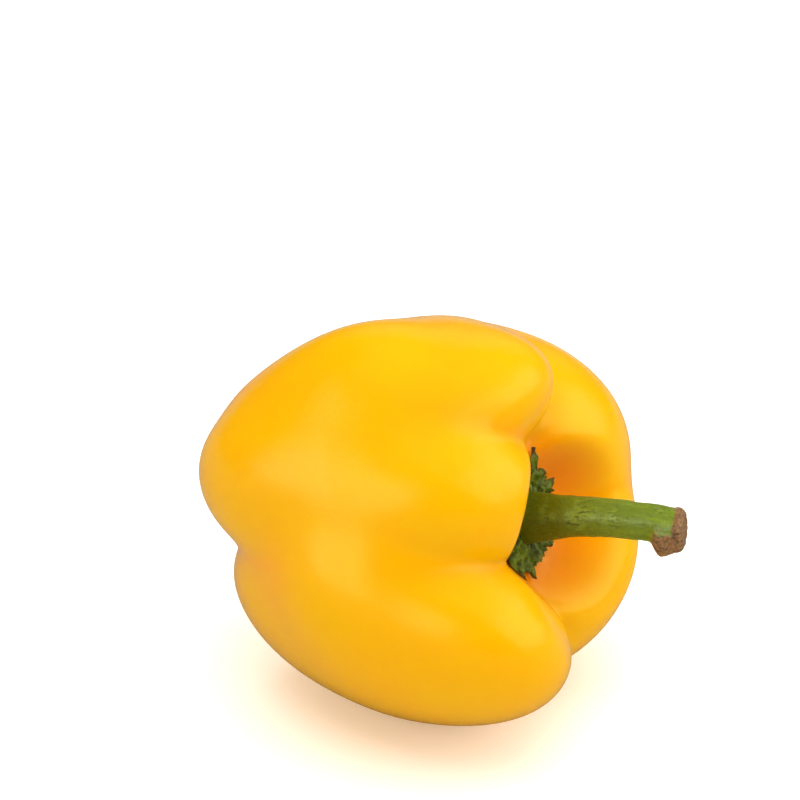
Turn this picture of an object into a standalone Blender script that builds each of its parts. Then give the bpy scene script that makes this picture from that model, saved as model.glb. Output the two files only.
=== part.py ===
"""A bell pepper lying on its side, with its calyx and its cut stem.

Metres, +Z up.  The stem points along +X and a little upward.  The fruit rests on the small
flat that its own weight presses under its lowest lobe.
"""
import math
from collections import namedtuple

import bmesh
import bpy
import numpy as np
from mathutils import Matrix

MM = 0.001

# The fruit's own frame: z runs along the stem, x is the upper side as the fruit lies (angle 0)
# and y is the near side (angle 90).  All sizes of the fruit are in millimetres.
Lobe = namedtuple("Lobe", "angle offset height radial side length lean")
LOBES = [
    Lobe(52.6, 20.2, -6.3, 25.8, 23.8, 40.6, -2.2),
    Lobe(129.8, 26.0, -0.7, 21.5, 28.2, 42.6, 8.6),
    Lobe(220.6, 18.1, -1.2, 24.4, 34.6, 40.5, 6.0),
    Lobe(280.7, 20.7, -1.9, 27.3, 28.8, 36.7, 9.6),
    Lobe(0.0, 22.2, -9.5, 18.1, 24.5, 42.4, 14.8),
]
CORE_RADIUS = 28.6
CORE_TOP = 23.4
CORE_BOTTOM = 38.8
CHORD_SOFTNESS = 8.0

# How softly neighbouring lobes run into each other: at the ends, round the belly, at the
# blossom end, in the shallow dent that splits the widest lobe, and in the front furrow.
SEAM_ENDS = 1.8
SEAM_BELLY = 3.0
SEAM_BLOSSOM = -0.75
SEAM_DENT = 6.9
DENT_ANGLE = 18.6
DENT_WIDTH = 21.6
SEAM_FRONT = 4.5
FRONT_ANGLE = 92.0
FRONT_WIDTH = 26.0

# Dishes at the two ends: height at the axis, rise per square millimetre, and the angles from
# the axis where the dish is whole and where it has run out.
STEM_DISH = (28.0, 0.012, 14.0, 40.0)
BLOSSOM_DISH = (36.0, 0.010, 5.0, 34.0)
HOLLOW_DEPTH = 6.0
HOLLOW_FLOOR_RADIUS = 9.0
HOLLOW_RIM_RADIUS = 23.0

AROUND = 80
ALONG = 52

# Rest: the stem end is tilted up, and the weight flattens the lowest lobe by this much.
STEM_TILT = 9.6
FLAT_DEPTH = 0.80 * MM

# Calyx: a thin green cap on the floor of the hollow.
GAP = 0.6
CALYX_THICKNESS = 1.5
CALYX_RIM_THICKNESS = 0.8
CALYX_VALLEY = 10.5
CALYX_SHIFT = 1.4
CALYX_SHIFT_ANGLE = 80.0
# angle, reach and half width of each tooth
TEETH = [(22, 13.6, 7), (46, 12.6, 6), (72, 14.2, 8), (96, 12.8, 6), (119, 15.8, 7),
         (139, 13.6, 11), (158, 13.3, 5), (206, 10.0, 6), (232, 11.6, 6), (262, 10.4, 7),
         (296, 11.5, 6), (322, 11.3, 12), (342, 15.8, 6), (3, 12.2, 6)]
CALYX_AROUND = 120
CALYX_RINGS = 7

# Stem: a ribbed stalk that flares where it leaves the calyx, arches a little, and ends in a
# corky foot that hooks down below the cut.
STEM_LENGTH = 35.8
STEM_RADIUS = 3.95
STEM_BASE_FLARE = 1.7
STEM_BASE_LENGTH = 9.0
STEM_RIBS = 5
STEM_RIB_DEPTH = 0.035
STEM_SET = -0.1
STEM_ARCH = 2.65
ARCH_START = 0.033
ARCH_TURN = 0.657
FOOT_HEIGHT = 3.1
FOOT_START = 7.0
FOOT_WHOLE = 3.8
FOOT_ROUNDING = 0.6
STEM_AROUND = 40
STEM_RINGS = 30
# rise of the cut face toward the upper side and toward the near side
CUT_SLANT = (0.08, 0.28)
# share of the cut edge's radius, and how far each ring stands out of the cut
CUT_PROFILE = [(0.96, 0.50), (0.86, 0.98), (0.70, 1.26), (0.45, 1.25), (0.20, 0.95)]


def clear_scene():
    for thing in list(bpy.data.objects):
        bpy.data.objects.remove(thing, do_unlink=True)


def ease(t):
    """A step from 0 to 1 with no kink at either end."""
    t = np.clip(t, 0.0, 1.0)
    return t * t * t * (t * (6.0 * t - 15.0) + 10.0)


def hump(x, width):
    return np.exp(-(x / width) ** 2)


def lobe_distance(rays, lobe):
    """How far each unit ray from the fruit's centre runs before it leaves the lobe."""
    angle = math.radians(lobe.angle)
    lean = math.radians(lobe.lean)
    outward = np.array([math.cos(angle), math.sin(angle), 0.0])
    sideways = np.array([-math.sin(angle), math.cos(angle), 0.0])
    upward = np.array([0.0, 0.0, 1.0])
    centre = lobe.offset * outward + lobe.height * upward
    rows = np.stack([
        (math.cos(lean) * outward - math.sin(lean) * upward) / lobe.radial,
        sideways / lobe.side,
        (math.cos(lean) * upward + math.sin(lean) * outward) / lobe.length,
    ])
    ray = rays @ rows.T
    start = rows @ centre
    square = (ray * ray).sum(-1)
    middle = (ray @ start) / square
    half_chord = middle ** 2 - (start @ start - 1.0) / square
    softened = np.sqrt(half_chord ** 2 + CHORD_SOFTNESS ** 4)
    return middle + np.sqrt((half_chord + softened) / 2.0)


def core_distance(rays):
    """The body inside the lobes: an egg with its own depth toward each end."""
    depth = np.where(rays[:, 2] > 0.0, CORE_TOP, CORE_BOTTOM)
    across = np.hypot(rays[:, 0], rays[:, 1]) / CORE_RADIUS
    return 1.0 / np.hypot(across, rays[:, 2] / depth)


def dish_distance(rays, height, rise):
    cosine = np.abs(rays[:, 2])
    sine_square = 1.0 - np.minimum(cosine, 1.0) ** 2
    inside = np.maximum(cosine ** 2 - 4.0 * rise * height * sine_square, 0.02)
    return 2.0 * height / (cosine + np.sqrt(inside))


def turn_between(angles, centre):
    """Signed turn in degrees from a centre, given in degrees, to angles in radians."""
    return np.degrees(np.angle(np.exp(1j * (angles - math.radians(centre)))))


def seam_softness(rays):
    up = rays[:, 2]
    angles = np.arctan2(rays[:, 1], rays[:, 0])
    in_dent = hump(turn_between(angles, DENT_ANGLE), DENT_WIDTH)
    in_front = hump(turn_between(angles, FRONT_ANGLE), FRONT_WIDTH)
    softness = SEAM_ENDS + SEAM_BELLY * hump(up - 0.05, 0.42)
    softness = softness + SEAM_BLOSSOM * hump(up + 1.0, 0.4)
    softness = softness + SEAM_FRONT * in_front * hump(up + 0.05, 0.45)
    return softness + SEAM_DENT * in_dent * hump(up + 0.2, 0.7)


def fruit_surface(rays):
    """Points of the skin, in millimetres, along unit rays from the fruit's centre."""
    reach = np.stack([lobe_distance(rays, lobe) for lobe in LOBES] + [core_distance(rays)])
    softness = seam_softness(rays)
    longest = reach.max(0)
    radius = longest + softness * np.log(np.exp((reach - longest) / softness).sum(0))
    from_axis = np.degrees(np.arccos(np.clip(rays[:, 2], -1.0, 1.0)))
    for dish, beta in ((STEM_DISH, from_axis), (BLOSSOM_DISH, 180.0 - from_axis)):
        height, rise, whole, gone = dish
        share = ease((gone - beta) / (gone - whole))
        radius = radius * (1.0 - share) + dish_distance(rays, height, rise) * share
    points = rays * radius[:, None]
    across = np.hypot(points[:, 0], points[:, 1])
    pressed = ease((HOLLOW_RIM_RADIUS - across) / (HOLLOW_RIM_RADIUS - HOLLOW_FLOOR_RADIUS))
    points[:, 2] -= np.where(rays[:, 2] > 0.0, HOLLOW_DEPTH * pressed, 0.0)
    return points


def rays_at(across, angle):
    """Unit rays at the given angle from the stem axis and angle round it, in radians."""
    flat = np.sin(across)
    return np.stack([flat * np.cos(angle), flat * np.sin(angle), np.cos(across)], axis=-1)


def rest_turn():
    """Turns the fruit's own frame so that the stem points along +X and a little up."""
    tilt = math.radians(STEM_TILT)
    sine, cosine = math.sin(tilt), math.cos(tilt)
    return Matrix(((-sine, 0.0, cosine), (0.0, -1.0, 0.0), (cosine, 0.0, sine)))


def place(bm, points):
    """Moves the vertices to points given in the fruit's frame in millimetres."""
    turn = np.array(rest_turn())
    for vertex, point in zip(bm.verts, points @ turn.T * MM):
        vertex.co = point


def make_fruit():
    bm = bmesh.new()
    bmesh.ops.create_uvsphere(bm, u_segments=AROUND, v_segments=ALONG, radius=1.0)
    rays = np.array([vertex.co.normalized() for vertex in bm.verts])
    place(bm, fruit_surface(rays))
    return bm


def ring_mesh(rings, around):
    """Closes a stack of rings of points, with a fan at each end."""
    bm = bmesh.new()
    loops = []
    for ring in rings:
        loops.append([bm.verts.new(point) for point in ring])
    for lower, upper in zip(loops, loops[1:]):
        for i in range(around):
            j = (i + 1) % around
            bm.faces.new((lower[i], lower[j], upper[j], upper[i]))
    for loop in (loops[0], loops[-1]):
        centre = bm.verts.new(np.mean([vertex.co for vertex in loop], axis=0))
        for i in range(around):
            bm.faces.new((loop[i], loop[(i + 1) % around], centre))
    bmesh.ops.recalc_face_normals(bm, faces=bm.faces)
    return bm


def calyx_edge(angles):
    """Radius of the calyx outline: a round of uneven teeth."""
    valley = CALYX_VALLEY + CALYX_SHIFT * np.cos(angles - math.radians(CALYX_SHIFT_ANGLE))
    edge = valley.copy()
    for tooth, reach, width in TEETH:
        off = turn_between(angles, tooth)
        edge = np.maximum(edge, valley + (reach - valley) * hump(off, width))
    return edge


def skin_height(radius, angle):
    """Height of the hollow's floor above the fruit's centre at a radius round the axis."""
    across = np.arctan2(radius, STEM_DISH[0])
    for _ in range(30):
        point = fruit_surface(rays_at(across, angle))
        across = across + (radius - np.hypot(point[:, 0], point[:, 1])) * 0.6 / STEM_DISH[0]
    return point[:, 2]


def make_calyx():
    angles = np.linspace(0.0, 2.0 * math.pi, CALYX_AROUND, endpoint=False)
    edge = calyx_edge(angles)
    lower, upper = [], []
    for step in range(1, CALYX_RINGS + 1):
        share = step / CALYX_RINGS
        radius = edge * share
        floor = skin_height(radius, angles) + GAP
        thickness = CALYX_THICKNESS + (CALYX_RIM_THICKNESS - CALYX_THICKNESS) * share
        flat = [radius * np.cos(angles), radius * np.sin(angles)]
        lower.append(np.stack(flat + [floor], axis=-1))
        upper.append(np.stack(flat + [floor + thickness], axis=-1))
    rings = lower + upper[::-1]
    bm = ring_mesh(rings, CALYX_AROUND)
    place(bm, np.array([vertex.co for vertex in bm.verts]))
    return bm


def stem_path(share):
    """Centre of the stalk at a share of its length: along the axis, in a shallow arch."""
    start = skin_height(np.array([0.01]), np.array([0.0]))[0] + 2.0 * GAP + CALYX_THICKNESS
    arch = STEM_ARCH * math.sin(math.pi * (ARCH_START + ARCH_TURN * share))
    return np.array([STEM_SET + arch, 0.0, start + STEM_LENGTH * share])


def foot_height(to_cut, angles):
    """How far the foot stands out of the lower side, this far before the cut."""
    rise = ease((FOOT_START - to_cut) / (FOOT_START - FOOT_WHOLE))
    rounded = 1.0 - FOOT_ROUNDING * ease((FOOT_WHOLE - to_cut) / FOOT_WHOLE)
    return FOOT_HEIGHT * rise * rounded * ((1.0 - np.cos(angles)) / 2.0) ** 1.5


def stem_radius(share, angles):
    base = STEM_BASE_FLARE * math.exp(-share * STEM_LENGTH / STEM_BASE_LENGTH)
    ribs = 1.0 + STEM_RIB_DEPTH * np.cos(STEM_RIBS * angles + 0.6 * share)
    return (STEM_RADIUS + base) * ribs + foot_height((1.0 - share) * STEM_LENGTH, angles)


def make_stem():
    angles = np.linspace(0.0, 2.0 * math.pi, STEM_AROUND, endpoint=False)
    outward = np.stack([np.cos(angles), np.sin(angles)], axis=-1)
    rings = []
    for step in range(STEM_RINGS + 1):
        share = step / STEM_RINGS
        centre = stem_path(share)
        radius = stem_radius(share, angles)
        slant = outward @ np.array(CUT_SLANT) * ease(share * 2.5 - 1.5)
        flat = centre[:2] + outward * radius[:, None]
        rings.append(np.column_stack([flat, centre[2] + slant * radius]))
    last = rings[-1]
    middle = last.mean(axis=0)
    for size, proud in CUT_PROFILE:
        rings.append(middle + (last - middle) * size + np.array([0.0, 0.0, proud]))
    bm = ring_mesh(rings, STEM_AROUND)
    place(bm, np.array([vertex.co for vertex in bm.verts]))
    return bm


def shift(bm, offset):
    bmesh.ops.translate(bm, vec=offset, verts=bm.verts)


def cut_flat(bm):
    """Cuts away what is below the table and closes the hole with a flat face."""
    geometry = bm.verts[:] + bm.edges[:] + bm.faces[:]
    bmesh.ops.bisect_plane(bm, geom=geometry, plane_co=(0.0, 0.0, 0.0),
                           plane_no=(0.0, 0.0, -1.0), clear_outer=True)
    open_edges = [edge for edge in bm.edges if edge.is_boundary]
    bmesh.ops.holes_fill(bm, edges=open_edges)
    bmesh.ops.recalc_face_normals(bm, faces=bm.faces)


def add_material(thing, name, colour, roughness):
    material = bpy.data.materials.new(name)
    material.use_nodes = True
    shader = material.node_tree.nodes["Principled BSDF"]
    shader.inputs["Base Color"].default_value = (*colour, 1.0)
    shader.inputs["Roughness"].default_value = roughness
    thing.data.materials.append(material)


def add_object(bm, name, colour, roughness):
    mesh = bpy.data.meshes.new(name)
    bm.to_mesh(mesh)
    bm.free()
    mesh.polygons.foreach_set("use_smooth", [True] * len(mesh.polygons))
    thing = bpy.data.objects.new(name, mesh)
    bpy.context.scene.collection.objects.link(thing)
    add_material(thing, name + "_skin", colour, roughness)
    return thing


def main():
    clear_scene()
    fruit, calyx, stem = make_fruit(), make_calyx(), make_stem()
    spots = np.array([vertex.co for bm in (fruit, calyx, stem) for vertex in bm.verts])
    low, high = spots.min(axis=0), spots.max(axis=0)
    middle = (low + high) / 2.0
    to_origin = (-middle[0], -middle[1], -low[2] - FLAT_DEPTH)
    for bm in (fruit, calyx, stem):
        shift(bm, to_origin)
    cut_flat(fruit)
    add_object(fruit, "fruit", (0.90, 0.45, 0.01), 0.25)
    add_object(calyx, "calyx", (0.10, 0.12, 0.01), 0.55)
    add_object(stem, "stem", (0.16, 0.20, 0.03), 0.50)


main()
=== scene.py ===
# %% [markdown]
# # A bell pepper, lying on its side
#
# This lesson models the outside of a ripe yellow bell pepper: a thick waxy fruit with lobes,
# a toothed calyx in the hollow at its stem end, and the cut stalk.  The measured solids come
# first as a fixed frame in metres, with +Z up, and every finer piece is laid over them.

# %% Load the measured frame
import math

import bmesh
import bpy
import numpy as np
from mathutils import Matrix, Vector, noise


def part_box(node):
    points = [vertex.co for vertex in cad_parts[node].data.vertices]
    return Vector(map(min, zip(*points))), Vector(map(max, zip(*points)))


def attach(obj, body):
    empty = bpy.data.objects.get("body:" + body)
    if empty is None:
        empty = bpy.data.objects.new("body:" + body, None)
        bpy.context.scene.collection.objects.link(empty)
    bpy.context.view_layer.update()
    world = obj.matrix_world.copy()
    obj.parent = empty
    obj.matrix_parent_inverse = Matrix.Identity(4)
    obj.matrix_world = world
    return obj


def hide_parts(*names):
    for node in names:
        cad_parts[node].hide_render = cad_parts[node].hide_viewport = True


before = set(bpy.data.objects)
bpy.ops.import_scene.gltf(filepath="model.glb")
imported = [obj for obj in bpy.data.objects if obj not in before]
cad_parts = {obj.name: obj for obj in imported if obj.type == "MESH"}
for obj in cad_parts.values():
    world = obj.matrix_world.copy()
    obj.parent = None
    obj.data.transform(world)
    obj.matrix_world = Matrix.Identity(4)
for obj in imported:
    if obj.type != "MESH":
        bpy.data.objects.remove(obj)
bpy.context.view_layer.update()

MM = 0.001

# %% [markdown]
# ## The fruit's own frame
#
# A pepper grows round its stalk, so its shape is easiest to say in a frame of its own, in
# millimetres: z runs along the stalk, x is the side that lies uppermost and y is the near
# side.  Lying down, the stalk points along +X and is tilted a little upward.

# %% Turn growth into rest
STALK_TILT = 9.6


def lay_down(points):
    """Turns points of the fruit's own frame so that the stalk lies along +X, tilted up."""
    sine = math.sin(math.radians(STALK_TILT))
    cosine = math.cos(math.radians(STALK_TILT))
    turn = np.array(((-sine, 0.0, cosine), (0.0, -1.0, 0.0), (cosine, 0.0, sine)))
    return np.asarray(points) @ turn.T


def ease(t):
    """A step from 0 to 1 with no kink at either end."""
    t = np.clip(t, 0.0, 1.0)
    return t * t * t * (t * (6.0 * t - 15.0) + 10.0)


def hump(x, width):
    return np.exp(-(np.asarray(x) / width) ** 2)


def turn_between(angles, centre):
    """Signed turn in degrees from a centre, given in degrees, to angles in radians."""
    return np.degrees(np.angle(np.exp(1j * (angles - math.radians(centre)))))


print("the stalk points along", np.round(lay_down([[0.0, 0.0, 1.0]])[0], 3))

# %% [markdown]
# ## Lobes
#
# A bell pepper is a ring of seed chambers, and each chamber bulges into a lobe.  It could be
# sculpted by hand, or turned on a profile and then dented.  Here every lobe is a leaning
# ellipsoid, and the skin is a soft union of them: the furrows, the shoulders round the stalk
# and the bumps at the blossom end then come by themselves, as they do in growth.

# %% Say the lobes
# angle round the stalk, offset from it, height, then radial, sideways and lengthways half
# sizes, and the lean.  The last one is the small shoulder that splits from the first.
LOBES = [
    (52.6, 20.2, -6.3, 25.8, 23.8, 40.6, -2.2),
    (129.8, 26.0, -0.7, 21.5, 28.2, 42.6, 8.6),
    (220.6, 18.1, -1.2, 24.4, 34.6, 40.5, 6.0),
    (280.7, 20.7, -1.9, 27.3, 28.8, 36.7, 9.6),
    (0.0, 22.2, -9.5, 18.1, 24.5, 42.4, 14.8),
]
CHORD_SOFTNESS = 8.0


def lobe_distance(rays, lobe):
    """How far unit rays from the fruit's centre run before they leave one lobe."""
    angle, offset, height, radial, side, length, lean = lobe
    angle, lean = math.radians(angle), math.radians(lean)
    outward = np.array([math.cos(angle), math.sin(angle), 0.0])
    sideways = np.array([-math.sin(angle), math.cos(angle), 0.0])
    upward = np.array([0.0, 0.0, 1.0])
    rows = np.stack([
        (math.cos(lean) * outward - math.sin(lean) * upward) / radial,
        sideways / side,
        (math.cos(lean) * upward + math.sin(lean) * outward) / length,
    ])
    ray = rays @ rows.T
    start = rows @ (offset * outward + height * upward)
    square = (ray * ray).sum(-1)
    middle = (ray @ start) / square
    half_chord = middle ** 2 - (start @ start - 1.0) / square
    softened = np.sqrt(half_chord ** 2 + CHORD_SOFTNESS ** 4)
    return middle + np.sqrt((half_chord + softened) / 2.0)


CORE_RADIUS, CORE_TOP, CORE_BOTTOM = 28.6, 23.4, 38.8


def core_distance(rays):
    """The body inside the lobes: an egg with its own depth toward each end."""
    depth = np.where(rays[:, 2] > 0.0, CORE_TOP, CORE_BOTTOM)
    across = np.hypot(rays[:, 0], rays[:, 1]) / CORE_RADIUS
    return 1.0 / np.hypot(across, rays[:, 2] / depth)


print(len(LOBES), "lobes round a core", 2 * CORE_RADIUS, "mm wide")

# %% [markdown]
# ## Furrows and hollows
#
# Where two lobes meet, the skin runs from one to the other in a furrow.  It is tight at the
# ends, broad and shallow round the belly and in front, and almost gone in the dent of the
# widest lobe, so the softness of the union changes over the fruit.  At both ends the furrows
# run out into a shallow dish, and round the stalk the whole dish is pressed in.

# %% Shape the skin
SEAM_ENDS, SEAM_BELLY, SEAM_BLOSSOM = 1.8, 3.0, -0.75
SEAM_DENT, DENT_ANGLE, DENT_WIDTH = 6.9, 18.6, 21.6
SEAM_FRONT, FRONT_ANGLE, FRONT_WIDTH = 4.5, 92.0, 26.0
# where on the axis each of these is strongest, from -1 to 1, and how far it spreads
BELLY_SPAN, BLOSSOM_SPAN = (0.05, 0.42), (-1.0, 0.4)
FRONT_SPAN, DENT_SPAN = (-0.05, 0.45), (-0.2, 0.7)
# height at the stalk's axis, rise per square millimetre, and the angles from the axis
# where the dish is whole and where it has run out
STEM_DISH = (28.0, 0.012, 14.0, 40.0)
BLOSSOM_DISH = (36.0, 0.010, 5.0, 34.0)
HOLLOW_DEPTH, HOLLOW_FLOOR_RADIUS, HOLLOW_RIM_RADIUS = 6.0, 9.0, 23.0
# keeps the dish's formula whole along rays that never meet it
LEAST_INSIDE = 0.02
# a furrow softer than this is too shallow to get painted shade
SHALLOW_SOFTNESS, TIGHT_RANGE = 10.5, 7.5


def seam_softness(rays):
    """How many millimetres wide the lobes melt into each other along unit rays."""
    angles = np.arctan2(rays[:, 1], rays[:, 0])
    in_dent = hump(turn_between(angles, DENT_ANGLE), DENT_WIDTH)
    in_front = hump(turn_between(angles, FRONT_ANGLE), FRONT_WIDTH)
    belly, blossom, front, dent = (hump(rays[:, 2] - middle, width) for middle, width in
                                   (BELLY_SPAN, BLOSSOM_SPAN, FRONT_SPAN, DENT_SPAN))
    softness = SEAM_ENDS + SEAM_BELLY * belly
    softness = softness + SEAM_BLOSSOM * blossom
    softness = softness + SEAM_FRONT * in_front * front
    return softness + SEAM_DENT * in_dent * dent


def dish_distance(rays, height, rise):
    """How far unit rays run to a bowl that curves up from its height on the axis."""
    cosine = np.abs(rays[:, 2])
    sine_square = 1.0 - np.minimum(cosine, 1.0) ** 2
    inside = np.maximum(cosine ** 2 - 4.0 * rise * height * sine_square, LEAST_INSIDE)
    return 2.0 * height / (cosine + np.sqrt(inside))


def fruit_surface(rays):
    """Points of the skin along unit rays, and how deep in a tight furrow each is (0 to 1)."""
    reach = np.stack([lobe_distance(rays, lobe) for lobe in LOBES] + [core_distance(rays)])
    softness = seam_softness(rays)
    longest = reach.max(0)
    blend = np.log(np.exp((reach - longest) / softness).sum(0))
    radius = longest + softness * blend
    from_axis = np.degrees(np.arccos(np.clip(rays[:, 2], -1.0, 1.0)))
    for dish, beta in ((STEM_DISH, from_axis), (BLOSSOM_DISH, 180.0 - from_axis)):
        height, rise, whole, gone = dish
        share = ease((gone - beta) / (gone - whole))
        radius = radius * (1.0 - share) + dish_distance(rays, height, rise) * share
    points = rays * radius[:, None]
    across = np.hypot(points[:, 0], points[:, 1])
    pressed = ease((HOLLOW_RIM_RADIUS - across) / (HOLLOW_RIM_RADIUS - HOLLOW_FLOOR_RADIUS))
    points[:, 2] -= np.where(rays[:, 2] > 0.0, HOLLOW_DEPTH * pressed, 0.0)
    tight = ease((SHALLOW_SOFTNESS - softness) / TIGHT_RANGE)
    return points, np.clip(blend / math.log(2.0), 0.0, 1.0) * tight


def rays_at(across, angle):
    """Unit rays at an angle from the stalk's axis and an angle round it, in radians."""
    flat = np.sin(across)
    return np.stack([flat * np.cos(angle), flat * np.sin(angle), np.cos(across)], axis=-1)


# steps toward the ray that meets the skin at a radius, and the share of the error each takes
HEIGHT_STEPS, HEIGHT_PACE = 30, 0.6


def skin_height(radius, angle):
    """Height of the hollow's floor above the fruit's centre, at a radius round the stalk."""
    across = np.arctan2(radius, STEM_DISH[0])
    for _ in range(HEIGHT_STEPS):
        point = fruit_surface(rays_at(across, angle))[0]
        missed = radius - np.hypot(point[:, 0], point[:, 1])
        across = across + missed * HEIGHT_PACE / STEM_DISH[0]
    return point[:, 2]


HOLLOW_FLOOR = float(skin_height(np.array([0.01]), np.array([0.0]))[0])
print("the hollow's floor is", round(HOLLOW_FLOOR, 1), "mm above the fruit's centre")

# %% [markdown]
# ## Meshing the fruit
#
# A sphere of latitude and longitude has its two poles under the calyx and at the blossom
# scar, where their fans of thin faces don't show.  Each vertex is sent out along its ray to
# the skin.  A living skin is never quite fair, so very low waves are added: they are
# what makes a highlight waver.  Where the flower dropped off, a small round scar is sunk in.

# %% Build the fruit
FRUIT_AROUND, FRUIT_ALONG = 288, 200
# height of the waves in millimetres, and their length in millimetres
SKIN_WAVES = [(0.30, 26.0), (0.02, 7.0)]
SCAR_RADIUS, SCAR_DEPTH, SCAR_SPREAD = 4.2, 0.9, 0.6


def waves(points, sizes, seed=0.0):
    """Smooth noise in millimetres at points in millimetres, the same in every run."""
    total = np.zeros(len(points))
    for height, length in sizes:
        for i, point in enumerate(points):
            spot = Vector(point) / length + Vector((seed, 2.0 * seed, 0.0))
            total[i] += height * noise.noise(spot)
    return total


def write_values(mesh, name, values):
    """Stores one number, or one vector, for each vertex under a name that nodes can read."""
    values = np.asarray(values, dtype=np.float32)
    kind, field = ("FLOAT", "value") if values.ndim == 1 else ("FLOAT_VECTOR", "vector")
    layer = mesh.attributes.new(name, kind, "POINT")
    layer.data.foreach_set(field, values.ravel())


def add_piece(name, bm):
    """Makes a smooth-shaded object that rides on the pepper's one body."""
    mesh = bpy.data.meshes.new(name)
    bm.to_mesh(mesh)
    bm.free()
    mesh.polygons.foreach_set("use_smooth", [True] * len(mesh.polygons))
    piece = bpy.data.objects.new(name, mesh)
    bpy.context.scene.collection.objects.link(piece)
    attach(piece, "root")
    return piece


def move_vertices(bm, points):
    for vertex, point in zip(bm.verts, points):
        vertex.co = point


ball = bmesh.new()
bmesh.ops.create_uvsphere(ball, u_segments=FRUIT_AROUND, v_segments=FRUIT_ALONG, radius=1.0)
fruit_rays = np.array([vertex.co.normalized() for vertex in ball.verts])
grown, in_furrow = fruit_surface(fruit_rays)
grown = grown + fruit_rays * waves(grown, SKIN_WAVES)[:, None]
across_stalk = np.hypot(grown[:, 0], grown[:, 1])
sunk = SCAR_DEPTH * hump(across_stalk, SCAR_SPREAD * SCAR_RADIUS) * (grown[:, 2] < 0.0)
grown[:, 2] += sunk
print("fruit:", len(ball.verts), "vertices,", len(ball.faces), "faces")

# %% [markdown]
# ## Resting on the table
#
# The measured solid says where the fruit is.  The fine skin is moved so that the middle of
# its box agrees with the measured box in X and Y, and is lowered by the depth that the
# weight presses flat.  Whatever would be under the table is pressed up to it.

# %% Lay the fruit down
FLAT_DEPTH = 0.8 * MM

laid = lay_down(grown) * MM
fruit_low, fruit_high = (np.array(corner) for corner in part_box("fruit"))
offset = (fruit_low + fruit_high - laid.min(0) - laid.max(0)) / 2.0
offset[2] = -laid[:, 2].min() - FLAT_DEPTH
laid = laid + offset
laid[:, 2] = np.maximum(laid[:, 2], 0.0)


def place(points):
    """From the fruit's own frame in millimetres to where it lies, in metres."""
    return lay_down(points) * MM + offset


move_vertices(ball, laid)
fruit_skin = add_piece("fruit_skin", ball)
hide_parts("fruit")
print("fruit centre at", np.round(offset, 4), "and", int((laid[:, 2] == 0.0).sum()),
      "vertices on the table")

# %% [markdown]
# The finishes need to know where on the fruit they are: how deep in a furrow, how far down
# the hollow or the blossom end, and which way the skin grew.  The last is a vector that
# changes quickly round the fruit and slowly along it, so any noise read with it is drawn out
# into streaks.

# %% Mark the skin
# radius where the hollow's painted shade and the scar's stain end, and how wide they fade, in mm
HOLLOW_SHADE, HOLLOW_FADE, SCAR_FADE = 24.0, 14.0, 2.2
# the growth vector's length round the fruit, and the degrees from the stalk in one unit of it
GROWTH_ROUND, GROWTH_ALONG = 10.0, 60.0

from_stalk = np.degrees(np.arccos(np.clip(fruit_rays[:, 2], -1.0, 1.0)))
round_stalk = np.arctan2(grown[:, 1], grown[:, 0])
# the furrow and the hollow marks say where the skin gets painted shade
write_values(fruit_skin.data, "furrow", in_furrow)
write_values(fruit_skin.data, "hollow",
             np.where(grown[:, 2] > 0.0, ease((HOLLOW_SHADE - across_stalk) / HOLLOW_FADE), 0.0))
write_values(fruit_skin.data, "blossom",
             np.where(grown[:, 2] < 0.0, ease((SCAR_RADIUS - across_stalk) / SCAR_FADE), 0.0))
write_values(fruit_skin.data, "growth", np.stack(
    [np.cos(round_stalk) * GROWTH_ROUND, np.sin(round_stalk) * GROWTH_ROUND,
     from_stalk / GROWTH_ALONG], axis=-1))
print("marked furrow, hollow, blossom and growth on the skin")

# %% [markdown]
# ## The calyx
#
# The calyx is what is left of the flower's green cup: a thin crinkled cap with a ring of
# teeth, which clings to the floor of the hollow.  A flat cut-out would look like paper, so
# it is grown as a grid of spokes and rings over the skin: its rim curls up, each tooth has a
# raised vein, and the tissue between them puckers.

# %% Shape the calyx outline
# angle round the stalk in degrees, reach and half width of each tooth
TEETH = [(22, 13.6, 7), (46, 12.6, 6), (72, 14.2, 8), (96, 12.8, 6), (119, 15.8, 7),
         (139, 13.6, 11), (158, 13.3, 4), (184, 10.7, 3), (206, 10.0, 6), (232, 11.6, 6),
         (262, 10.4, 7), (296, 11.5, 5), (322, 11.3, 12), (342, 15.8, 5), (3, 12.2, 5)]
# mean radius between the teeth, how far the cap sits off its middle, and toward where
CALYX_VALLEY, CALYX_SHIFT, CALYX_SHIFT_ANGLE = 10.5, 1.4, 80.0
CALYX_AROUND, CALYX_RINGS = 480, 40
# a tooth is a rounded base with a drawn-out tip: the share, then the width or the sharpness
TOOTH_BASE, TOOTH_TIP = (0.6, 1.2), (0.4, 3.5)
# height of the nibbles in millimetres and how many there are in a turn
COARSE_NIBBLES, FINE_NIBBLES = (0.16, 41.0), (0.12, 67.0)


def calyx_edge(angles):
    """Radius of the rim: teeth with drawn-out tips, and fine nibbles between them."""
    valley = CALYX_VALLEY + CALYX_SHIFT * np.cos(angles - math.radians(CALYX_SHIFT_ANGLE))
    edge = valley.copy()
    for centre, reach, width in TEETH:
        off = np.abs(turn_between(angles, centre)) / width
        tooth = TOOTH_BASE[0] * hump(off, TOOTH_BASE[1])
        tooth = tooth + TOOTH_TIP[0] * np.exp(-TOOTH_TIP[1] * off)
        edge = np.maximum(edge, valley + (reach - valley) * tooth)
    uneven = 1.7 * np.sin(5.0 * angles)
    nibbles = COARSE_NIBBLES[0] * np.sin(COARSE_NIBBLES[1] * angles + uneven)
    return edge + nibbles + FINE_NIBBLES[0] * np.sin(FINE_NIBBLES[1] * angles)


calyx_angles = np.linspace(0.0, 2.0 * math.pi, CALYX_AROUND, endpoint=False)
rim_radius = calyx_edge(calyx_angles)
print("calyx rim from", round(rim_radius.min(), 1), "to", round(rim_radius.max(), 1), "mm")

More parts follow.
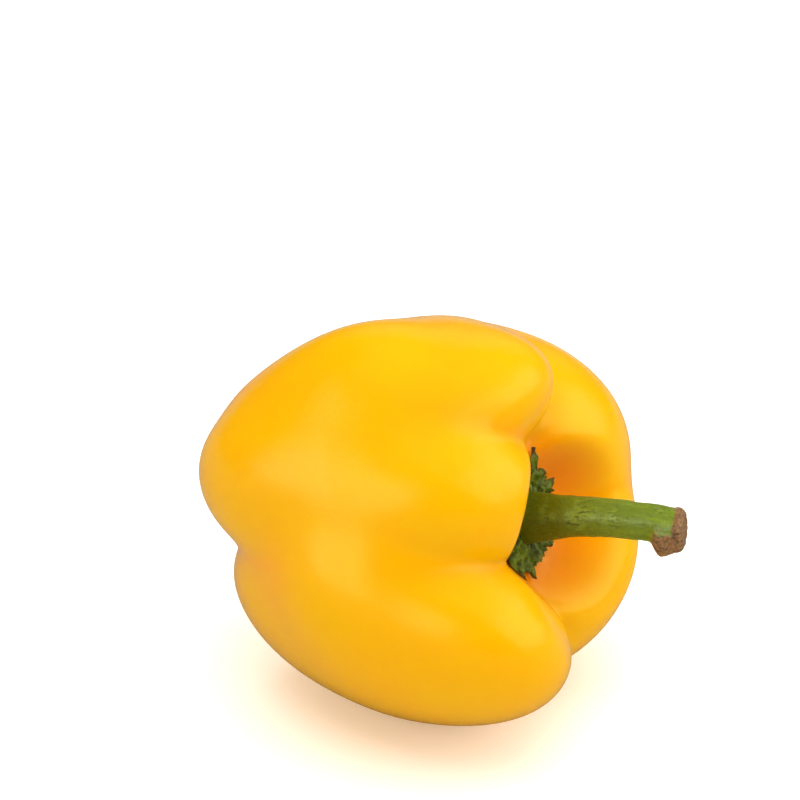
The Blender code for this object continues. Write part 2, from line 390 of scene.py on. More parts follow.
# %% [markdown]
# The sheet is laid over the skin first, with a hair of clearance.  Then the upper side is
# lifted by a thickness that swells toward the stalk, by the veins and by the puckers.  Both
# sides are joined at the rim, so the calyx stays a closed solid.

# %% Build the calyx
CALYX_CLEARANCE = 0.45
CALYX_MIDDLE, CALYX_RIM, CALYX_THINNEST = 1.5, 0.55, 0.3
# the vein's width is in degrees; it is highest near the stalk and runs out past the rim
VEIN_HEIGHT, VEIN_WIDTH, VEIN_RUNS_OUT = 0.28, 3.5, 1.2
# how far the rim curls up, the share of it that the under side takes, and its unevenness
RIM_CURL, CURL_UNDER, CURL_BASE, CURL_WAVE, CURLS = 0.9, 0.8, 0.6, 0.4, 9.0
PUCKERS = [(1.1, 2.4), (0.65, 1.0), (0.25, 0.5)]
# how each of them comes in from the stalk to the rim: steepness, and what is taken off
CURL_COMES, PUCKERS_COME, VEINS_COME = (2.2, 1.2), (2.0, 0.4), (3.0, 0.6)
# a tip's width as a share of its tooth's, and where it starts and how far it fades
TIP_WIDTH, TIP_START, TIP_FADE = 0.35, 0.86, 0.12


def comes_in(share, steepness, taken_off):
    """A step from 0 to 1 along a share of a length."""
    return ease(share * steepness - taken_off)


def tooth_lines(angles, widths):
    """1 on the line that runs out into each tooth's tip, fading over a width beside it."""
    strength = np.zeros(len(angles))
    for tooth, width in zip(TEETH, widths):
        strength = np.maximum(strength, hump(turn_between(angles, tooth[0]), width))
    return strength


def closed_rings(rings):
    """Joins rings of points into a tube, and closes both ends with a fan of triangles."""
    bm = bmesh.new()
    loops = [[bm.verts.new(point) for point in ring] for ring in rings]
    around = len(loops[0])
    for first, second in zip(loops, loops[1:]):
        for i in range(around):
            j = (i + 1) % around
            bm.faces.new((first[i], first[j], second[j], second[i]))
    for loop in (loops[0], loops[-1]):
        middle = bm.verts.new(np.mean([vertex.co for vertex in loop], axis=0))
        for i in range(around):
            bm.faces.new((loop[i], loop[(i + 1) % around], middle))
    bmesh.ops.recalc_face_normals(bm, faces=bm.faces)
    return bm


vein_line = tooth_lines(calyx_angles, [VEIN_WIDTH] * len(TEETH))
tip_line = tooth_lines(calyx_angles, [TIP_WIDTH * width for centre, reach, width in TEETH])
curling = CURL_BASE + CURL_WAVE * np.sin(CURLS * calyx_angles)
calyx_under, calyx_upper, vein_marks, tip_marks = [], [], [], []
for step in range(1, CALYX_RINGS + 1):
    share = step / CALYX_RINGS
    radius = rim_radius * share
    flat = np.stack([radius * np.cos(calyx_angles), radius * np.sin(calyx_angles)], axis=-1)
    floor = skin_height(radius, calyx_angles) + CALYX_CLEARANCE
    curl = RIM_CURL * comes_in(share, *CURL_COMES) * curling
    under = np.column_stack([flat, floor + CURL_UNDER * curl])
    puckered = waves(under, PUCKERS, seed=3.0) * comes_in(share, *PUCKERS_COME)
    vein = vein_line * comes_in(share, *VEINS_COME)
    thickness = CALYX_MIDDLE + (CALYX_RIM - CALYX_MIDDLE) * share
    veined = VEIN_HEIGHT * vein * (VEIN_RUNS_OUT - share)
    lifted = floor + CURL_UNDER * curl + thickness + veined + puckered
    upper = np.column_stack([flat, np.maximum(lifted, under[:, 2] + CALYX_THINNEST)])
    calyx_under.append(under)
    calyx_upper.append(upper)
    vein_marks.append(vein)
    tip_marks.append(tip_line * ease((share - TIP_START) / TIP_FADE))

calyx_points = calyx_under + calyx_upper[::-1]
calyx_bm = closed_rings([place(ring) for ring in calyx_points])
calyx_cap = add_piece("calyx_cap", calyx_bm)
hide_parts("calyx")
print("calyx:", len(calyx_cap.data.polygons), "faces")

# %% [markdown]
# The finish of the calyx reads two masks: where a vein runs, and where a tip has dried.

# %% Mark the calyx
def with_ends(rows, first, last):
    """Values ring by ring, followed by those of the two vertices that close the ends."""
    return np.concatenate([np.concatenate(rows), [first, last]])


write_values(calyx_cap.data, "vein", with_ends(vein_marks + vein_marks[::-1], 0.0, 0.0))
write_values(calyx_cap.data, "tip", with_ends(tip_marks + tip_marks[::-1], 0.0, 0.0))
print("marked veins and tips on the calyx")

# %% [markdown]
# ## The stalk
#
# A pepper's stalk is a fleshy, five-sided stick.  It flares where it leaves the calyx, is
# ribbed lengthwise, and widens again into a foot where it was snapped or cut from the plant.
# A tube on a curve would be too even, so rings are placed one by one along an arched line,
# and every ring gets its own radius, ribs and small flaws.

# %% Lay out the stalk
STEM_CLEARANCE, STEM_REACH = 0.6, 38.2
STEM_START = HOLLOW_FLOOR + STEM_CLEARANCE
STEM_END = HOLLOW_FLOOR + STEM_REACH
STEM_RADIUS = 3.95
# how far off the fruit's axis it starts, how far it arches up, and how much of a half wave
STEM_SET, STEM_ARCH, STEM_ARCH_SPAN = -0.1, 2.65, 0.69
STEM_AROUND, STEM_RINGS = 200, 160


def stem_centre(share):
    """The stalk's centre line at a share of its length."""
    arch = STEM_ARCH * math.sin(math.pi * STEM_ARCH_SPAN * share)
    return np.array([STEM_SET + arch, 0.0, STEM_START + (STEM_END - STEM_START) * share])


BASE_FLARE, BASE_FLARE_LENGTH = 2.1, 9.0
RIBS, RIB_DEPTH, RIB_TWIST = 5, 0.035, 0.6


def under_side(angles):
    """0 on the stalk's upper side, 1 on its lower side."""
    return (1.0 - np.cos(angles)) / 2.0


# the foot's height, where it starts and is whole before the cut, and how much is rounded off
FOOT_HEIGHT, FOOT_START, FOOT_WHOLE, FOOT_ROUNDING = 2.9, 7.0, 3.6, 0.5
FOOT_NARROWING = 1.5


def foot_share(to_cut, angles):
    """How much of the foot has grown at this far before the cut, from 0 to 1."""
    grown_out = ease((FOOT_START - to_cut) / (FOOT_START - FOOT_WHOLE))
    return grown_out * under_side(angles) ** FOOT_NARROWING


def foot_height(to_cut, angles):
    """How far the corky foot stands out of the lower side, this far before the cut."""
    rounded = 1.0 - FOOT_ROUNDING * ease((FOOT_WHOLE - to_cut) / FOOT_WHOLE)
    return FOOT_HEIGHT * rounded * foot_share(to_cut, angles)


stem_length = STEM_END - STEM_START


def stem_radius(share, angles):
    """The stalk's radius with its flare, ribs and foot, at a share of its length."""
    base = BASE_FLARE * math.exp(-share * stem_length / BASE_FLARE_LENGTH)
    ribs = 1.0 + RIB_DEPTH * np.cos(RIBS * angles + RIB_TWIST * share)
    return (STEM_RADIUS + base) * ribs + foot_height((1.0 - share) * stem_length, angles)


print("stalk:", round(stem_length, 1), "mm long,", 2 * STEM_RADIUS, "mm thick in the middle")

# %% [markdown]
# The cut is slanted a little, so its near edge stands out further, and the wound has dried
# to cork: a rough brown skin that wraps over the edge and covers the foot, which hooks down.
# Fine lengthwise striations and a few pits make the green skin of the stalk look fibrous.
# Where the stalk was rubbed, the skin is scuffed, with short dark cracks, and duller; on the
# upper side the patch is also painted paler as a painted highlight.

# %% Build the stalk
# rise of the cut face toward the upper side and toward the near side, and how it comes in
CUT_SLANT_UP, CUT_SLANT_NEAR, SLANT_COMES = 0.08, 0.28, (2.5, 1.5)
# height and length of the waves of each kind, in millimetres; striations are drawn out
STRIATIONS, STRETCH = [(0.14, 1.8), (0.06, 0.7)], 0.12
FLAWS = [(0.22, 5.0), (0.10, 2.0)]
CORK_ROUGHNESS, CORK_SWELLING = [(0.30, 1.7), (0.14, 0.8)], 0.15
# where the scuffed patch is along the stalk and round it, and how large it is
SCUFF_AT, SCUFF_LENGTH, SCUFF_ANGLE, SCUFF_WIDTH = 18.0, 9.0, 60.0, 40.0
# how the patch breaks up: its strength, what is taken off, and the waves that are added
SCUFF_STRENGTH, SCUFF_CUT, SCUFFS = 1.2, 0.25, [(1.0, 4.5), (0.5, 2.0)]
# how far the cork comes round the edge, and how much foot there is where it turns to cork,
# how soft both limits are, and the waves that make them ragged
CORK_BAND, CORK_FOOT = 0.8, 0.33
BAND_FADE, FOOT_FADE, RAGGED_EDGE = 0.7, 0.2, [(0.9, 2.2), (0.5, 0.8)]

stem_angles = np.linspace(0.0, 2.0 * math.pi, STEM_AROUND, endpoint=False)
outward = np.stack([np.cos(stem_angles), np.sin(stem_angles)], axis=-1)
stem_rings, cork_marks, stem_growth, scuff_and_sheen_marks = [], [], [], []
for step in range(STEM_RINGS + 1):
    share = step / STEM_RINGS
    centre = stem_centre(share)
    along = share * stem_length
    line = np.column_stack([outward * STEM_RADIUS, np.full(STEM_AROUND, along * STRETCH)])
    body = np.column_stack([outward * STEM_RADIUS, np.full(STEM_AROUND, along)])
    to_cut = (1.0 - share) * stem_length
    ragged = waves(body, RAGGED_EDGE, seed=9.0)
    cork = ease((CORK_BAND - to_cut) / BAND_FADE + 0.5 + ragged)
    foot = foot_share(to_cut, stem_angles)
    cork = np.maximum(cork, ease((foot - CORK_FOOT) / FOOT_FADE + 0.5 + ragged))
    radius = stem_radius(share, stem_angles)
    radius = radius + waves(line, STRIATIONS, seed=5.0) + waves(body, FLAWS, seed=6.0)
    radius = radius + cork * (waves(body, CORK_ROUGHNESS, seed=7.0) + CORK_SWELLING)
    slant = outward @ np.array([CUT_SLANT_UP, CUT_SLANT_NEAR]) * comes_in(share, *SLANT_COMES)
    flat = centre[:2] + outward * radius[:, None]
    height = centre[2] + slant * radius
    stem_rings.append(np.column_stack([flat, height]))
    cork_marks.append(cork)
    rubbed = hump(turn_between(stem_angles, SCUFF_ANGLE), SCUFF_WIDTH)
    rubbed = rubbed * hump(along - SCUFF_AT, SCUFF_LENGTH)
    scuffed = SCUFF_STRENGTH * rubbed - SCUFF_CUT + waves(body, SCUFFS, seed=11.0)
    scuff_and_sheen_marks.append(ease(scuffed))
    stem_growth.append(body)
print("stalk:", len(stem_rings), "rings of", STEM_AROUND, "points")

# %% [markdown]
# The cut face is closed with shrinking rings.  The cork has swollen into a rounded cushion
# that is slightly sunken in the middle, where the pith has dried and shrunk.

# %% Close the cut
# share of the edge's radius, and how far the ring stands out of the cut, in millimetres
CUT_PROFILE = [(0.99, 0.22), (0.96, 0.50), (0.91, 0.78), (0.84, 1.02), (0.75, 1.20),
               (0.64, 1.30), (0.52, 1.30), (0.40, 1.18), (0.28, 1.02), (0.14, 0.90)]
CUT_ROUGHNESS = [(0.22, 1.1)]
edge_ring = stem_rings[-1]
cut_middle = edge_ring.mean(0)
for size, proud in CUT_PROFILE:
    ring = cut_middle + (edge_ring - cut_middle) * size
    ring[:, 2] += proud + waves(ring, CUT_ROUGHNESS, seed=8.0)
    stem_rings.append(ring)
    cork_marks.append(np.ones(STEM_AROUND))
    scuff_and_sheen_marks.append(np.zeros(STEM_AROUND))
    stem_growth.append(ring)

stem_bm = closed_rings([place(ring) for ring in stem_rings])
stalk = add_piece("stalk", stem_bm)
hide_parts("stem")
write_values(stalk.data, "cork", with_ends(cork_marks, 0.0, 1.0))
write_values(stalk.data, "scuff_and_sheen", with_ends(scuff_and_sheen_marks, 0.0, 0.0))
write_values(stalk.data, "growth", np.concatenate(
    [np.concatenate(stem_growth), stem_rings[0].mean(0)[None], cut_middle[None]]))
print("stalk:", len(stalk.data.polygons), "faces")

# %% [markdown]
# ## Shader helpers
#
# Each finish is a small graph of nodes.  A few short helpers keep the graphs readable: one
# adds a node and fills its sockets, one stands for a stored value of the mesh, and the
# others do sums, weaken a mask and blend two colours.

# %% Helpers for node graphs
def add_node(tree, kind, settings=None, **sockets):
    """Adds a node.  Socket values may be numbers, colours or other nodes' outputs."""
    node = tree.nodes.new(kind)
    for name, value in (settings or {}).items():
        setattr(node, name, value)
    for name, value in sockets.items():
        fill(tree, node.inputs[name.replace("_", " ")], value)
    return node


def fill(tree, socket, value):
    if isinstance(value, bpy.types.NodeSocket):
        tree.links.new(value, socket)
    else:
        socket.default_value = value


def stored(tree, name, output="Fac"):
    return add_node(tree, "ShaderNodeAttribute", {"attribute_name": name}).outputs[output]


def math_node(tree, operation, first, second=0.0, clamp=False):
    node = add_node(tree, "ShaderNodeMath", {"operation": operation, "use_clamp": clamp})
    fill(tree, node.inputs[0], first)
    fill(tree, node.inputs[1], second)
    return node.outputs[0]


def weaken(tree, value, share):
    """A mask at a share of its strength."""
    return math_node(tree, "MULTIPLY", value, share)


def blend_colours(tree, share, first, second):
    """From the first colour to the second as the share goes from 0 to 1."""
    node = add_node(tree, "ShaderNodeMix", {"data_type": "RGBA"})
    fill(tree, node.inputs[0], share)
    fill(tree, node.inputs[6], first)
    fill(tree, node.inputs[7], second)
    return node.outputs[2]


def opaque(red, green, blue):
    return (red, green, blue, 1.0)


print("shader helpers are ready")

# %% [markdown]
# ## Two effects that every living surface shares
#
# *Mottle* is the uneven pigment of plant tissue: soft blotches of a chosen size, pushed
# apart into a mask.  *Growth streaks* are the same noise read along the growth vector, so
# that it is drawn out lengthwise.  Both are node groups with named sockets, so each finish
# sets its own size and contrast.

# %% Build the shared effects
def new_group(name, numbers):
    """A node group with a vector input called Place, number inputs, and a Mask output."""
    tree = bpy.data.node_groups.new(name, "ShaderNodeTree")
    tree.interface.new_socket("Place", in_out="INPUT", socket_type="NodeSocketVector")
    for label, value in numbers.items():
        socket = tree.interface.new_socket(label, in_out="INPUT",
                                           socket_type="NodeSocketFloat")
        socket.default_value = value
    tree.interface.new_socket("Mask", in_out="OUTPUT", socket_type="NodeSocketFloat")
    return tree, tree.nodes.new("NodeGroupInput"), tree.nodes.new("NodeGroupOutput")


def spread(tree, value, low, high):
    """Pushes a noise value apart into a mask between two levels."""
    node = add_node(tree, "ShaderNodeMapRange", {"interpolation_type": "SMOOTHSTEP"},
                    Value=value, From_Min=low, From_Max=high)
    return node.outputs["Result"]


mottle, given, made = new_group("Mottle", {"Scale": 100.0, "Low": 0.35, "High": 0.65})
blotches = add_node(mottle, "ShaderNodeTexNoise", Vector=given.outputs["Place"],
                    Scale=given.outputs["Scale"], Detail=3.0, Roughness=0.55)
mottle.links.new(spread(mottle, blotches.outputs["Fac"], given.outputs["Low"],
                        given.outputs["High"]), made.inputs["Mask"])

streaks, given, made = new_group("Growth streaks",
                                 {"Scale": 3.0, "Low": 0.35, "High": 0.65})
drawn = add_node(streaks, "ShaderNodeTexNoise", Vector=given.outputs["Place"],
                 Scale=given.outputs["Scale"], Detail=4.0, Roughness=0.6,
                 Distortion=0.15)
streaks.links.new(spread(streaks, drawn.outputs["Fac"], given.outputs["Low"],
                         given.outputs["High"]), made.inputs["Mask"])


def use_group(tree, group, **sockets):
    node = add_node(tree, "ShaderNodeGroup", {"node_tree": group}, **sockets)
    return node.outputs["Mask"]


print("groups:", [group.name for group in bpy.data.node_groups])

# %% [markdown]
# ## Skin
#
# The colour of the skin lies under a clear wax layer, in flesh that light enters and leaves
# again nearby.  A plain glossy yellow looks like plastic; subsurface scattering carries red
# further than green, so the shade is warm.  That alone leaves the furrows and the hollow too
# yellow, so the stored masks paint shade into them as a deeper orange: painted shade.  The
# pigment is nearly even, so mottle and streaks stay faint.

# %% Skin finish
SKIN_YELLOW = opaque(0.73, 0.365, 0.0)
SKIN_SHADE_AND_BLOTCH = opaque(0.90, 0.20, 0.0)
SKIN_PALE = opaque(0.75, 0.41, 0.0)
SCAR_BROWN = opaque(0.36, 0.19, 0.03)
WAX_TINT = opaque(1.0, 0.97, 0.30)
# how strongly each mark shows in the colour; the furrow and the hollow marks are painted shade,
# the scar is a stain
PAINTED_FURROW_SHADE, PAINTED_HOLLOW_SHADE, SCAR_SHOWS = 0.30, 0.85, 0.6
BLOTCHES_SHOW, LINES_SHOW = 0.10, 0.12
WAX_ROUGHNESS, SPECK_ROUGHNESS = 0.16, 0.05


def new_material(name):
    material = bpy.data.materials.new(name)
    material.use_nodes = True
    tree = material.node_tree
    return material, tree, tree.nodes["Principled BSDF"]


skin, tree, shader = new_material("waxy_skin")
place_on = add_node(tree, "ShaderNodeTexCoord").outputs["Object"]
blotchy = use_group(tree, mottle, Place=place_on, Scale=55.0, Low=0.3, High=0.75)
speckled = use_group(tree, mottle, Place=place_on, Scale=900.0, Low=0.42, High=0.7)
lines = use_group(tree, streaks, Place=stored(tree, "growth", "Vector"), Scale=1.1,
                  Low=0.35, High=0.8)
# painted shade: a deeper orange where shade falls in the hollow and the furrows, with the skin's
# own blotches added to it
hollow_painted_shade = weaken(tree, stored(tree, "hollow"), PAINTED_HOLLOW_SHADE)
furrow_painted_shade = weaken(tree, stored(tree, "furrow"), PAINTED_FURROW_SHADE)
depth = math_node(tree, "MAXIMUM", furrow_painted_shade, hollow_painted_shade)
deep = math_node(tree, "ADD", depth, weaken(tree, blotchy, BLOTCHES_SHOW), clamp=True)
colour = blend_colours(tree, deep, SKIN_YELLOW, SKIN_SHADE_AND_BLOTCH)
colour = blend_colours(tree, weaken(tree, lines, LINES_SHOW), colour, SKIN_PALE)
scarred = weaken(tree, stored(tree, "blossom"), SCAR_SHOWS)
colour = blend_colours(tree, scarred, colour, SCAR_BROWN)
fill(tree, shader.inputs["Base Color"], colour)
roughness = math_node(tree, "ADD", weaken(tree, speckled, SPECK_ROUGHNESS), WAX_ROUGHNESS)
fill(tree, shader.inputs["Roughness"], roughness)
shader.inputs["IOR"].default_value = 1.40
shader.inputs["Specular IOR Level"].default_value = 0.5
shader.inputs["Specular Tint"].default_value = WAX_TINT
shader.inputs["Subsurface Weight"].default_value = 0.25
shader.inputs["Subsurface Radius"].default_value = (1.0, 0.45, 0.05)
shader.inputs["Subsurface Scale"].default_value = 0.004
pits = add_node(tree, "ShaderNodeBump", Strength=0.06, Distance=0.0003, Height=speckled)
fill(tree, shader.inputs["Normal"], pits.outputs["Normal"])
fruit_skin.data.materials.append(skin)
print("skin finish has", len(tree.nodes), "nodes")

# %% [markdown]
# ## Calyx
#
# Calyx tissue is darker and duller than the stalk.  The veins are a paler green, and with the
# folds they are painted paler still as a painted highlight where they catch the light.  The
# low spots of the crinkle between them are almost black green, their own dark tone and painted
# shade, and the tips of the teeth have dried brown.

# %% Calyx finish
CALYX_DARK_AND_SHADE = opaque(0.028, 0.042, 0.0)
CALYX_GREEN = opaque(0.085, 0.108, 0.0)
CALYX_VEIN_AND_SHEEN = opaque(0.19, 0.24, 0.002)
CALYX_DRY = opaque(0.075, 0.035, 0.012)
VEIN_SHEEN_SHOWS, CRUMB_SHEEN_SHOWS = 0.5, 0.16
LEAF_ROUGHNESS, BLOTCH_ROUGHNESS = 0.42, 0.15

leafy, tree, shader = new_material("calyx_leaf")
place_on = add_node(tree, "ShaderNodeTexCoord").outputs["Object"]
blotchy = use_group(tree, mottle, Place=place_on, Scale=420.0, Low=0.36, High=0.62)
crumbs = use_group(tree, mottle, Place=place_on, Scale=1500.0, Low=0.4, High=0.68)
# painted shade: the darkest green lies where the crinkle's bump sinks, on the tissue's own
# mottle
colour = blend_colours(tree, blotchy, CALYX_DARK_AND_SHADE, CALYX_GREEN)
# painted highlight: the veins and the fine crumbs are painted paler, on the veins' own paler
# green
veins = weaken(tree, stored(tree, "vein"), VEIN_SHEEN_SHOWS)
veins = math_node(tree, "ADD", veins, weaken(tree, crumbs, CRUMB_SHEEN_SHOWS), clamp=True)
colour = blend_colours(tree, veins, colour, CALYX_VEIN_AND_SHEEN)
colour = blend_colours(tree, stored(tree, "tip"), colour, CALYX_DRY)
fill(tree, shader.inputs["Base Color"], colour)
roughness = math_node(tree, "ADD", weaken(tree, blotchy, BLOTCH_ROUGHNESS), LEAF_ROUGHNESS)
fill(tree, shader.inputs["Roughness"], roughness)
crinkle = add_node(tree, "ShaderNodeBump", Strength=0.5, Distance=0.0004, Height=blotchy)
fill(tree, shader.inputs["Normal"], crinkle.outputs["Normal"])
shader.inputs["Specular IOR Level"].default_value = 0.08
shader.inputs["Subsurface Weight"].default_value = 0.08
shader.inputs["Subsurface Radius"].default_value = (0.4, 1.0, 0.1)
shader.inputs["Subsurface Scale"].default_value = 0.0015
calyx_cap.data.materials.append(leafy)
print("calyx finish has", len(tree.nodes), "nodes")

# %% [markdown]
# ## Stalk and cork
#
# The stalk is a lively green with paler bands along the ribs and dark hair lines between
# them.  Toward the calyx it turns olive.  Over the cut, the stored cork mask changes the
# same finish into dry brown cork: duller, rougher and crumbly.

# %% Stalk finish
STALK_OLIVE = opaque(0.100, 0.110, 0.0)
STALK_GREEN = opaque(0.120, 0.175, 0.006)
STALK_DARK = opaque(0.055, 0.080, 0.001)
STALK_PALE = opaque(0.22, 0.29, 0.014)
CORK_BROWN = opaque(0.15, 0.062, 0.012)
CORK_DARK = opaque(0.055, 0.022, 0.006)
CORK_PALE = opaque(0.25, 0.12, 0.028)
# how strongly each mark shows in the colour, and where along the stalk olive turns to green
FIBRES_SHOW, SCUFF_SHEEN_SHOWS, GRAINS_SHOW, HAIRS_IN_CORK = 0.55, 0.50, 0.20, 0.8
UNSCUFFED_HAIRS = 0.25
FRESH_FROM, FRESH_TO = 5.0, 36.0
STALK_ROUGHNESS, CORK_ROUGHER, SCUFF_DULLS = 0.38, 0.32, 0.4
RELIEF_SHARE = 0.4

stalky, tree, shader = new_material("stalk_and_cork")
grown_at = stored(tree, "growth", "Vector")
squeeze = add_node(tree, "ShaderNodeMapping", Vector=grown_at, Scale=(1.0, 1.0, 0.10))
crack_at = add_node(tree, "ShaderNodeMapping", Vector=grown_at, Scale=(1.0, 1.0, 0.30))
fibres = use_group(tree, streaks, Place=squeeze.outputs["Vector"], Scale=0.45,
                   Low=0.36, High=0.70)
hairs = use_group(tree, streaks, Place=crack_at.outputs["Vector"], Scale=1.7,
                  Low=0.52, High=0.62)
grains = use_group(tree, mottle, Place=grown_at, Scale=1.6, Low=0.35, High=0.68)
cork, scuff_and_sheen = stored(tree, "cork"), stored(tree, "scuff_and_sheen")
along_stalk = add_node(tree, "ShaderNodeSeparateXYZ", Vector=grown_at).outputs["Z"]
fresh = spread(tree, along_stalk, FRESH_FROM, FRESH_TO)
colour = blend_colours(tree, fresh, STALK_OLIVE, STALK_GREEN)
pale = math_node(tree, "MULTIPLY", fibres, weaken(tree, fresh, FIBRES_SHOW))
# painted highlight: the rubbed patch on the upper side is painted paler; its cracks and dullness
# are real wear
pale = math_node(tree, "ADD", pale, weaken(tree, scuff_and_sheen, SCUFF_SHEEN_SHOWS), clamp=True)
colour = blend_colours(tree, pale, colour, STALK_PALE)
cracking = math_node(tree, "ADD", scuff_and_sheen, UNSCUFFED_HAIRS)
cracked = math_node(tree, "MULTIPLY", hairs, cracking, clamp=True)
colour = blend_colours(tree, cracked, colour, STALK_DARK)
colour = blend_colours(tree, weaken(tree, grains, GRAINS_SHOW), colour, STALK_DARK)
bark = blend_colours(tree, grains, CORK_BROWN, CORK_PALE)
bark = blend_colours(tree, weaken(tree, hairs, HAIRS_IN_CORK), bark, CORK_DARK)
fill(tree, shader.inputs["Base Color"], blend_colours(tree, cork, colour, bark))
dull = math_node(tree, "MAXIMUM", cork, weaken(tree, scuff_and_sheen, SCUFF_DULLS))
roughness = math_node(tree, "ADD", weaken(tree, dull, CORK_ROUGHER), STALK_ROUGHNESS)
fill(tree, shader.inputs["Roughness"], roughness)
relief = math_node(tree, "ADD", weaken(tree, fibres, RELIEF_SHARE),
                   weaken(tree, grains, RELIEF_SHARE))
relief = math_node(tree, "SUBTRACT", relief, cracked)
rough = add_node(tree, "ShaderNodeBump", Strength=0.5, Distance=0.0004, Height=relief)
fill(tree, shader.inputs["Normal"], rough.outputs["Normal"])
shader.inputs["Specular IOR Level"].default_value = 0.2
shader.inputs["Subsurface Weight"].default_value = 0.06
shader.inputs["Subsurface Radius"].default_value = (0.5, 1.0, 0.1)
shader.inputs["Subsurface Scale"].default_value = 0.002
stalk.data.materials.append(stalky)
print("stalk finish has", len(tree.nodes), "nodes")

# %% [markdown]
# ## Table and light
#
# The pepper lies on a seamless white table in a very bright studio.  The table has a weak
# glow that only the camera sees, painted light that keeps it white and lightens the shadow
# under the pepper.  Beside the pepper the glow is warm: painted bounce light, which strengthens
# the tint that the yellow skin throws on the table.  In the wax the table is made
# dimmer than it is, or the whole lower side of the fruit would shine.

# %% Set the table
TABLE_WHITE = opaque(0.80, 0.80, 0.80)
TABLE_IN_GLOSS = opaque(0.20, 0.20, 0.20)
# how bright the painted glow is, its tint beside the pepper, which is painted bounce light, and
# away from it, and where they change
TABLE_PAINTED_GLOW = 0.4
TABLE_PAINTED_BOUNCE, TABLE_COOL = opaque(1.0, 0.66, 0.34), opaque(1.0, 1.0, 1.0)
PAINTED_BOUNCE_REACH = (0.06, 0.16)
TABLE_HALF = 4.0

table_bm = bmesh.new()
bmesh.ops.create_grid(table_bm, x_segments=2, y_segments=2, size=TABLE_HALF)
table_mesh = bpy.data.meshes.new("table")
table_bm.to_mesh(table_mesh)
table_bm.free()
table = bpy.data.objects.new("table", table_mesh)
bpy.context.scene.collection.objects.link(table)
paper, tree, shader = new_material("white_paper")
mirrored = add_node(tree, "ShaderNodeLightPath").outputs["Is Glossy Ray"]
fill(tree, shader.inputs["Base Color"],
     blend_colours(tree, mirrored, TABLE_WHITE, TABLE_IN_GLOSS))
shader.inputs["Roughness"].default_value = 0.9
shader.inputs["Specular IOR Level"].default_value = 0.1
# painted light: the table glows for the camera, warm as painted bounce light beside the pepper
# and white away from it
on_table = add_node(tree, "ShaderNodeTexCoord").outputs["Object"]
from_pepper = add_node(tree, "ShaderNodeVectorMath", {"operation": "LENGTH"}, Vector=on_table)
away = spread(tree, from_pepper.outputs["Value"], *PAINTED_BOUNCE_REACH)
fill(tree, shader.inputs["Emission Color"], blend_colours(tree, away, TABLE_PAINTED_BOUNCE, TABLE_COOL))
seen = add_node(tree, "ShaderNodeLightPath").outputs["Is Camera Ray"]
fill(tree, shader.inputs["Emission Strength"], math_node(tree, "MULTIPLY", seen, TABLE_PAINTED_GLOW))
table.data.materials.append(paper)
print("table is", 2 * TABLE_HALF, "m wide")

# %% [markdown]
# White light from all round keeps the shadows faint.  Soft boxes at the left, the right and
# the back give the long highlights that say how the skin curves.  Each of them is two lamps
# in one place, one that only lights the flesh and one that is only seen in the wax, so the
# strength of a highlight is set apart from that of the light.  One more lamp overhead lights
# the flesh and the table, and isn't seen in the wax.

# %% Set the light
SKY_STRENGTH, SKY_IN_GLOSS = 0.53, 0.03
WHITE = opaque(1.0, 1.0, 1.0)


def soft_box(name, energy, size, position, aim):
    """A rectangular lamp at a position, turned to face the aim."""
    lamp = bpy.data.lights.new(name, "AREA")
    lamp.shape = "RECTANGLE"
    lamp.size, lamp.size_y = size
    lamp.energy = energy
    thing = bpy.data.objects.new(name, lamp)
    thing.location = position
    toward = Vector(aim) - Vector(position)
    thing.rotation_euler = toward.to_track_quat("-Z", "Y").to_euler()
    bpy.context.scene.collection.objects.link(thing)
    return thing


sky = bpy.data.worlds.new("studio_sky")
sky.use_nodes = True
glossy = add_node(sky.node_tree, "ShaderNodeLightPath").outputs["Is Glossy Ray"]
dimmed = math_node(sky.node_tree, "MULTIPLY", glossy, SKY_IN_GLOSS - SKY_STRENGTH)
background = sky.node_tree.nodes["Background"]
background.inputs["Color"].default_value = WHITE
fill(sky.node_tree, background.inputs["Strength"],
     math_node(sky.node_tree, "ADD", dimmed, SKY_STRENGTH))
bpy.context.scene.world = sky
pepper_middle = tuple(float(c) for c in offset)


def around(round_degrees, up_degrees, distance):
    """A place seen from the pepper: 0 is the near side and 90 the stalk's side."""
    turn, up = math.radians(round_degrees), math.radians(up_degrees)
    return (pepper_middle[0] + distance * math.sin(turn) * math.cos(up),
            pepper_middle[1] - distance * math.cos(turn) * math.cos(up),
            pepper_middle[2] + distance * math.sin(up))


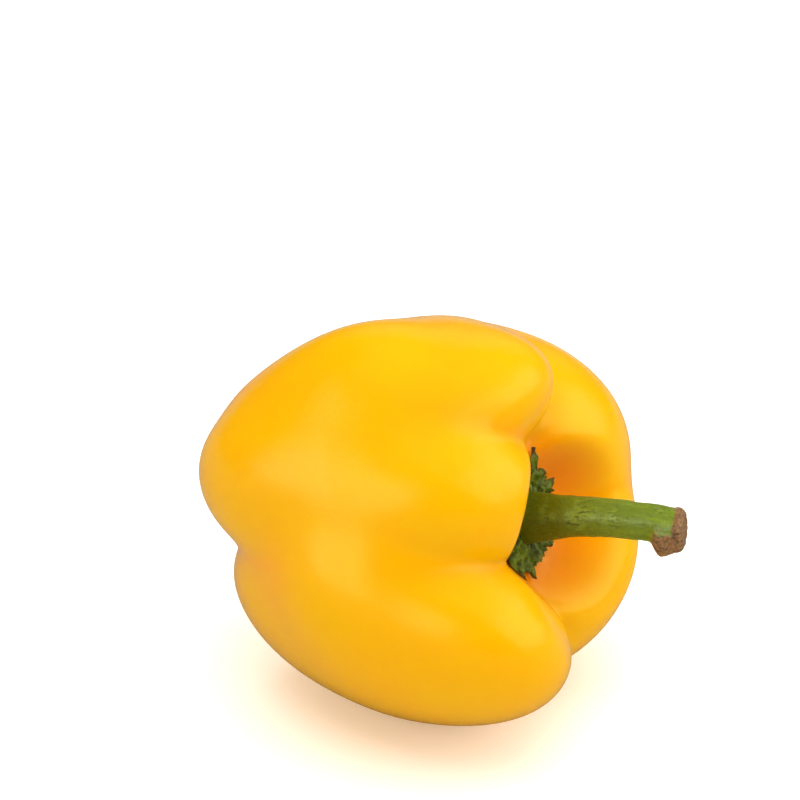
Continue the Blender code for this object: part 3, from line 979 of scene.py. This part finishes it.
def twin_boxes(name, light, shine, size, position):
    """One lamp that only lights the flesh, and one that is only seen in the wax."""
    soft_box(name + "_light", light, size, position, pepper_middle).visible_glossy = False
    soft_box(name + "_shine", shine, size, position, pepper_middle).visible_diffuse = False


twin_boxes("left", light=3.5, shine=44.0, size=(1.65, 0.72),
           position=around(-20.0, 22.0, 1.1))
twin_boxes("right", light=8.0, shine=48.0, size=(1.60, 0.95),
           position=around(109.0, 31.0, 1.1))
twin_boxes("back", light=1.0, shine=9.0, size=(0.9, 0.7),
           position=around(-155.0, 22.0, 1.2))
top_light = soft_box("top_light", energy=36.0, size=(2.0, 2.0),
                     position=around(0.0, 90.0, 1.6), aim=pepper_middle)
top_light.visible_glossy = False
bpy.context.scene.view_settings.view_transform = "Standard"
print(len(bpy.data.lights), "lamps, sky strength", SKY_STRENGTH)

# %% [markdown]
# ## Camera
#
# A long lens from a little over half a metre keeps the lobes in proportion.  It looks down
# at the pepper from the stalk's side of the front, and the pepper lies low in the frame.

# %% Set the camera
CAMERA_ROUND = 30.45
CAMERA_UP = 28.05
CAMERA_DISTANCE = 0.65
LENS, SENSOR_WIDTH = 131.6, 36.0
NEAREST_SEEN = 0.01
# how far the aim lies to the right of the fruit's centre and above it, in metres
AIM_RIGHT, AIM_ABOVE = -0.00815, 0.0235

turn_round = math.radians(CAMERA_ROUND)
turn_up = math.radians(CAMERA_UP)
backward = Vector((math.sin(turn_round) * math.cos(turn_up),
                   -math.cos(turn_round) * math.cos(turn_up), math.sin(turn_up)))
right = Vector((math.cos(turn_round), math.sin(turn_round), 0.0))
above = backward.cross(right)
aim = Vector(pepper_middle) + AIM_RIGHT * right + AIM_ABOVE * above
camera = bpy.data.objects.new("camera", bpy.data.cameras.new("camera"))
bpy.context.scene.collection.objects.link(camera)
camera.data.lens = LENS
camera.data.sensor_width = SENSOR_WIDTH
camera.data.clip_start = NEAREST_SEEN
axes = Matrix((right, above, backward)).transposed().to_4x4()
camera.matrix_world = Matrix.Translation(aim + CAMERA_DISTANCE * backward) @ axes
bpy.context.scene.camera = camera
print("camera at", [round(c, 3) for c in camera.matrix_world.translation])
